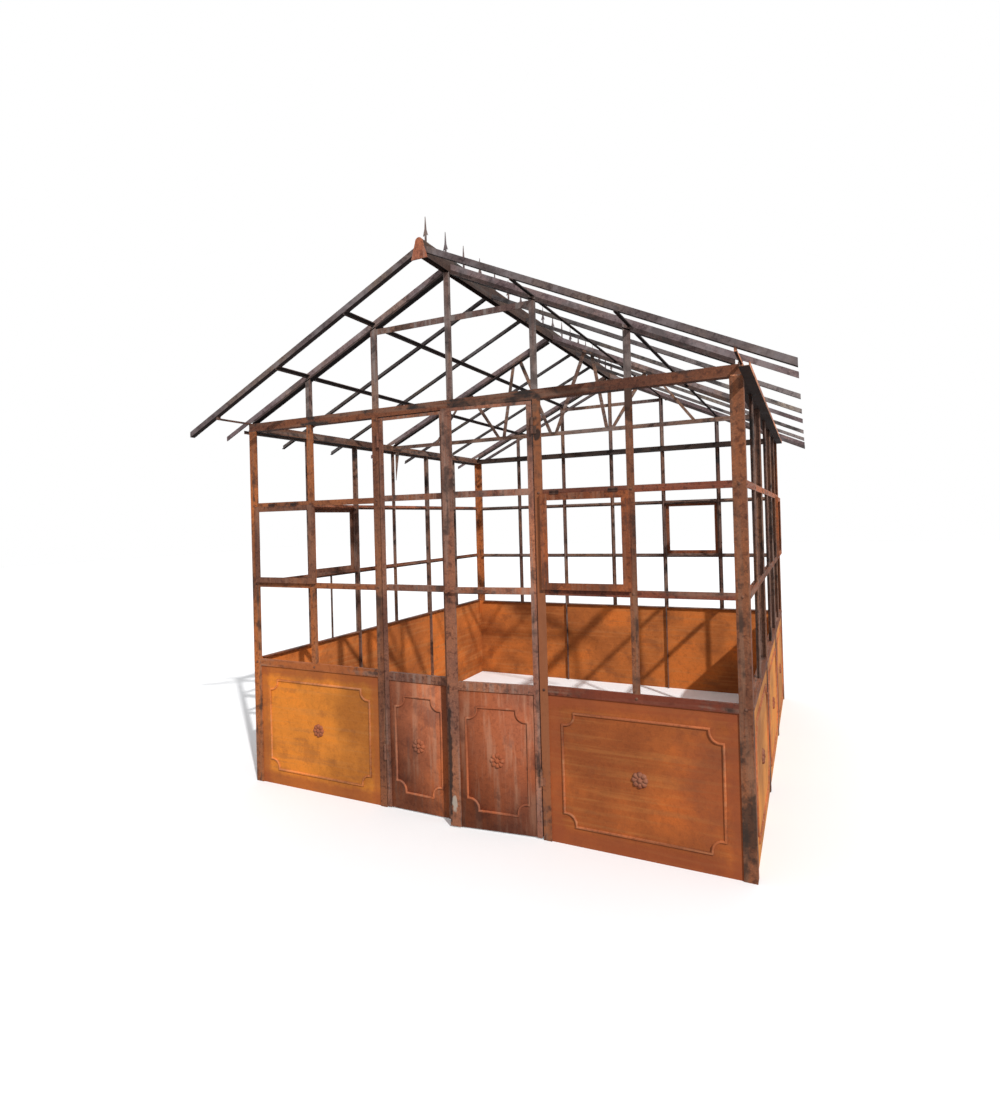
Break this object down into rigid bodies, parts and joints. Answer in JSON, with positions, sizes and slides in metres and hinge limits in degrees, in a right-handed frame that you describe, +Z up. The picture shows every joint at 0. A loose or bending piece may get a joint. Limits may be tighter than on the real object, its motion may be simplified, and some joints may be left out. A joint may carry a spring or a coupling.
{
  "type": "greenhouse frame",
  "caption": "Square iron greenhouse frame with a gabled roof, sheet base panels, top-hung casements, a spiked ridge and a double door; the glass is missing.",
  "frame": {"origin": "on the ground under the middle of the part's bounding box, midway between the two verges", "axes": "+X to the right along the front wall with the doors, +Y from the front to the rear, +Z up"},
  "size_m": [3.234, 3.406, 3.0073],
  "materials": {
    "bar_iron": "rusted wrought iron bar, grey-brown",
    "roof_iron": "rusted wrought iron bar, dark brown",
    "panel_sheet": "rusted iron sheet, blotchy orange-brown",
    "door_iron": "rusted wrought iron, red-brown",
    "casement_iron": "rusted wrought iron, red-orange",
    "ridge_iron": "rusted cast and folded iron, light brown"
  },
  "bodies": {
    "frame": {"casement_rails": "casement_iron", "casement_stiles": "casement_iron", "corner_posts": "bar_iron", "deep_rafters": "roof_iron", "door_hinge_pins": "bar_iron", "door_posts": "bar_iron", "eave_gutters": "bar_iron", "front_base_panels": "panel_sheet", "front_eave_beam": "bar_iron", "front_gable_bars": "roof_iron", "front_rails": "bar_iron", "front_uprights": "bar_iron", "gable_collars": "roof_iron", "left_base_panels": "panel_sheet", "left_rails": "bar_iron", "left_uprights": "bar_iron", "panel_trim": "panel_sheet", "purlins": "roof_iron", "rear_base_panels": "panel_sheet", "rear_eave_beam": "bar_iron", "rear_gable_bars": "roof_iron", "rear_rails": "bar_iron", "rear_uprights": "bar_iron", "ridge_beam": "ridge_iron", "ridge_end_plates": "ridge_iron", "ridge_finials": "ridge_iron", "right_base_panels": "panel_sheet", "right_rails": "bar_iron", "right_uprights": "bar_iron", "roof_glazing_bars": "roof_iron", "side_eave_beams": "bar_iron", "truss_gussets": "roof_iron", "truss_tie": "roof_iron", "truss_webs": "roof_iron", "verge_rafters": "roof_iron"},
    "left_leaf": {"left_leaf_knuckles": "door_iron", "left_leaf_panel": "panel_sheet", "left_leaf_rails": "door_iron", "left_leaf_stiles": "door_iron"},
    "right_leaf": {"latch_lever": "door_iron", "right_leaf_knuckles": "door_iron", "right_leaf_panel": "panel_sheet", "right_leaf_rails": "door_iron", "right_leaf_stiles": "door_iron"}
  },
  "joints": [
    {"name": "left_leaf_hinge", "type": "hinge", "parent": "frame", "child": "left_leaf", "pos_m": [-0.44925, -1.4625, 0.3], "axis": [0, 0, -1], "range_deg": [0, 100]},
    {"name": "right_leaf_hinge", "type": "hinge", "parent": "frame", "child": "right_leaf", "pos_m": [0.45525, -1.4625, 0.3], "axis": [0, 0, 1], "range_deg": [-7, 93]}
  ]
}
